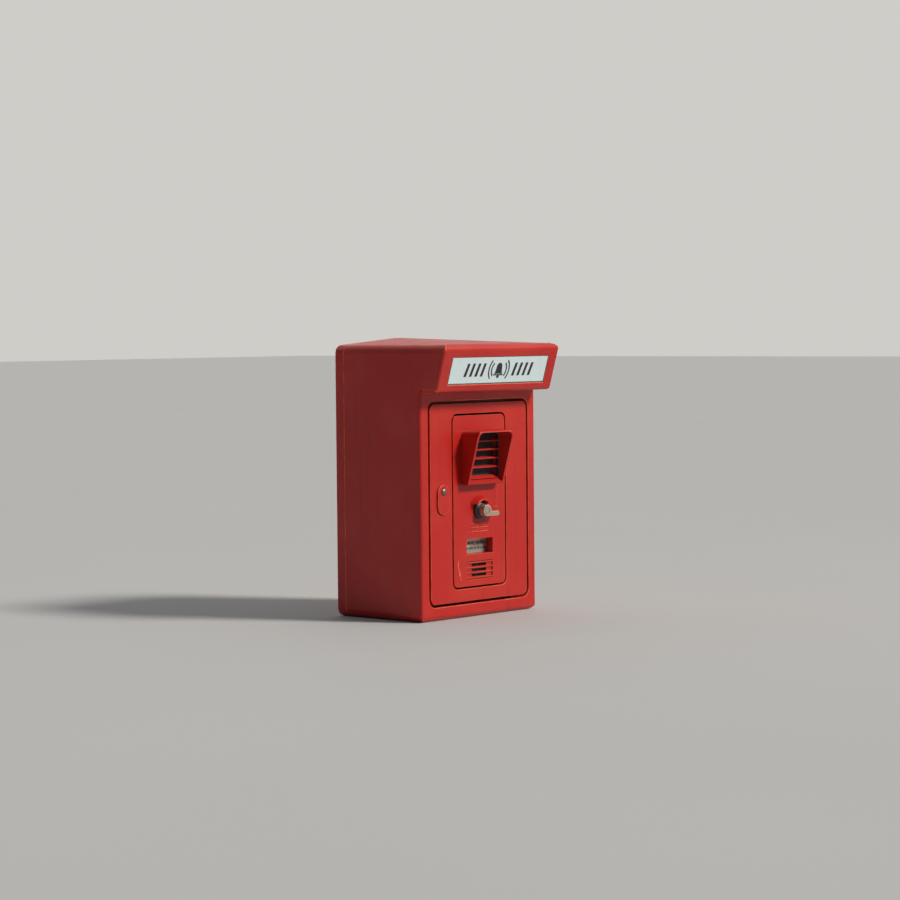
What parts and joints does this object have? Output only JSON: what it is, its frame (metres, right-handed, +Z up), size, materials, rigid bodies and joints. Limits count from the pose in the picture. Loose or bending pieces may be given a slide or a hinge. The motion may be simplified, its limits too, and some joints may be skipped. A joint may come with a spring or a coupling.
{
  "type": "wall-mounted street fire and emergency call box",
  "caption": "Wall-mounted red street alarm box: lit sign canopy, locked service door round a panel with speaker hood, call lever, card window and microphone grille.",
  "frame": {"origin": "middle of the wall-bolt pattern, on the flat back face of the rear pan", "axes": "+X right seen from the front, +Y into the wall, +Z up"},
  "size_m": [0.302, 0.2531, 0.48],
  "materials": {
    "red_enamel": "gloss stove enamel over steel and cast iron, weathered",
    "black_rubber": "matt",
    "zinc_steel": "zinc plated",
    "sign_acrylic": "opal acrylic, gloss",
    "lamp_glass": "opal glass tube with a phosphor coat",
    "white_enamel": "gloss white enamel",
    "ivory_plastic": "moulded",
    "grey_plastic": "moulded",
    "black_gauze": "woven",
    "paper_cone": "pressed paper",
    "black_plastic": "moulded, satin",
    "clear_window": "clear polycarbonate pane",
    "cream_card": "printed card",
    "cast_case": "cast, painted grey",
    "board_laminate": "solder-masked laminate",
    "brass": "turned",
    "bright_steel": "turned, satin",
    "cast_lever": "cast, worn",
    "nylon": "moulded nylon"
  },
  "bodies": {
    "root": {"rear_pan": "red_enamel", "housing": "red_enamel", "housing_screws": "zinc_steel", "door_frame": "red_enamel", "door_gasket": "black_rubber", "hinge_brackets": "zinc_steel", "hinge_screws": "zinc_steel", "hinge_pins": "zinc_steel", "sign_panel": "sign_acrylic", "sign_gasket": "black_rubber", "sign_retainer": "zinc_steel", "sign_screws": "zinc_steel", "lamp_tube": "lamp_glass", "lamp_holders": "ivory_plastic", "lamp_reflector": "white_enamel", "lamp_ballast": "grey_plastic", "chassis": "zinc_steel", "chassis_nuts": "zinc_steel", "control_panel": "red_enamel", "panel_nuts": "zinc_steel", "speaker_hood": "red_enamel", "louvre_slats": "red_enamel", "speaker_gauze": "black_gauze", "speaker_baffle": "zinc_steel", "speaker_basket": "zinc_steel", "speaker_cone": "paper_cone", "speaker_magnet": "zinc_steel", "speaker_screws": "zinc_steel", "lever_shroud": "red_enamel", "lever_bush": "black_plastic", "bush_nut": "zinc_steel", "bearing_bracket": "zinc_steel", "stop_pin": "zinc_steel", "call_sensor": "grey_plastic", "window_pane": "clear_window", "instruction_card": "cream_card", "card_holder": "zinc_steel", "card_screws": "zinc_steel", "microphone_boot": "black_rubber", "microphone": "zinc_steel", "transmitter_case": "cast_case", "board_posts": "brass", "amplifier_board": "board_laminate", "battery": "grey_plastic", "battery_clamp": "zinc_steel", "terminal_block": "ivory_plastic", "cable_grommet": "black_rubber", "return_spring": "zinc_steel"},
    "door": {"door": "red_enamel", "door_lugs": "zinc_steel", "lock_body": "bright_steel", "lock_nut": "zinc_steel", "cover_rivet": "bright_steel"},
    "lock": {"lock_plug": "brass", "lock_cam": "zinc_steel"},
    "cover": {"lock_cover": "red_enamel"},
    "lever": {"lever_handle": "cast_lever", "lever_shaft": "zinc_steel", "hub_screw": "zinc_steel", "lever_cam": "nylon"}
  },
  "joints": [
    {"name": "door_hinge", "type": "hinge", "parent": "root", "child": "door", "pos_m": [0.117, -0.188, -0.036], "axis": [0, 0, 1], "range_deg": [0, 100]},
    {"name": "lock_turn", "type": "hinge", "parent": "door", "child": "lock", "pos_m": [-0.095, -0.18, -0.038], "axis": [0, 1, 0], "range_deg": [0, 90]},
    {"name": "cover_swing", "type": "hinge", "parent": "door", "child": "cover", "pos_m": [-0.095, -0.1975, -0.015], "axis": [0, 1, 0], "range_deg": [-110, 110]},
    {"name": "lever_turn", "type": "hinge", "parent": "root", "child": "lever", "pos_m": [0, -0.205, -0.051], "axis": [0, 1, 0], "range_deg": [0, 90], "stiffness_Nm_per_rad": 0.15, "springref_deg": -28.65}
  ]
}
